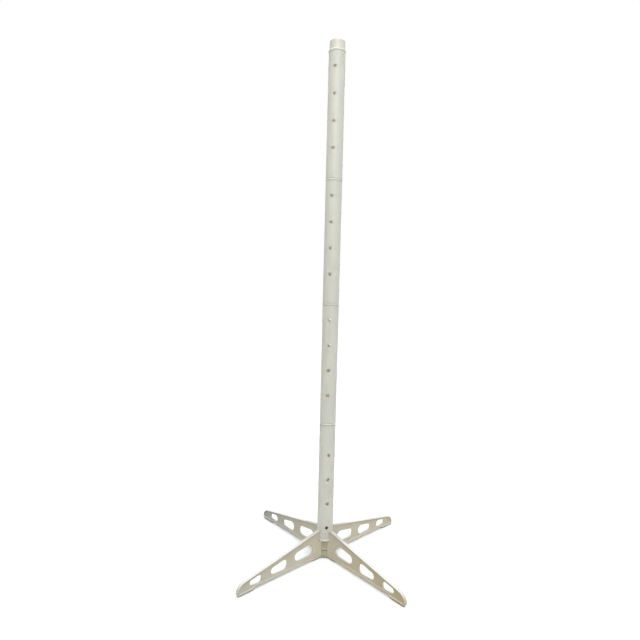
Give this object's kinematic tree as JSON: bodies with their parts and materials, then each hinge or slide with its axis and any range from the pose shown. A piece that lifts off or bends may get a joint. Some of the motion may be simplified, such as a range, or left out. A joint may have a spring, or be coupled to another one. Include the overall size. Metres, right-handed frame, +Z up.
{
  "type": "rotary clothesline mast and stand",
  "caption": "Free-standing sectional mast of a rotary clothesline: cross-drilled plastic tubes that turn on collared couplings, on a low cross stand of windowed legs.",
  "frame": {"origin": "on the floor, on the axis of the mast, midway between the four feet", "axes": "+Z up along the mast; -Y is the front; the legs stand on the diagonals between X and Y"},
  "size_m": [0.473, 0.473, 1.5862],
  "materials": {
    "tube_plastic": "satin ivory plastic tube",
    "hub_plastic": "satin ivory moulded plastic",
    "leg_plastic": "satin ivory moulded plastic, slightly darker than the tubes",
    "fastener_steel": "zinc-plated steel",
    "pad_rubber": "dull dark rubber"
  },
  "bodies": {
    "stand": {"hub_body": "hub_plastic", "hub_cap": "hub_plastic", "hub_screw": "fastener_steel", "hub_washer": "fastener_steel", "hub_nut": "fastener_steel", "leg_front_left": "leg_plastic", "leg_front_right": "leg_plastic", "leg_rear_right": "leg_plastic", "leg_rear_left": "leg_plastic", "foot_pad_front_left": "pad_rubber", "foot_pad_front_right": "pad_rubber", "foot_pad_rear_right": "pad_rubber", "foot_pad_rear_left": "pad_rubber"},
    "section_1": {"mast_tube_1": "tube_plastic", "coupling_1": "hub_plastic"},
    "section_2": {"mast_tube_2": "tube_plastic", "coupling_2": "hub_plastic"},
    "section_3": {"mast_tube_3": "tube_plastic", "coupling_3": "hub_plastic"},
    "section_4": {"mast_tube_4": "tube_plastic", "coupling_4": "hub_plastic"}
  },
  "joints": [
    {"name": "section_1_turn", "type": "hinge", "parent": "stand", "child": "section_1", "pos_m": [0, 0, 0.0655], "axis": [0, 0, 1], "continuous": true},
    {"name": "section_2_turn", "type": "hinge", "parent": "section_1", "child": "section_2", "pos_m": [0, 0, 0.439], "axis": [0, 0, 1], "continuous": true},
    {"name": "section_3_turn", "type": "hinge", "parent": "section_2", "child": "section_3", "pos_m": [0, 0, 0.8125], "axis": [0, 0, 1], "continuous": true},
    {"name": "section_4_turn", "type": "hinge", "parent": "section_3", "child": "section_4", "pos_m": [0, 0, 1.186], "axis": [0, 0, 1], "continuous": true}
  ]
}
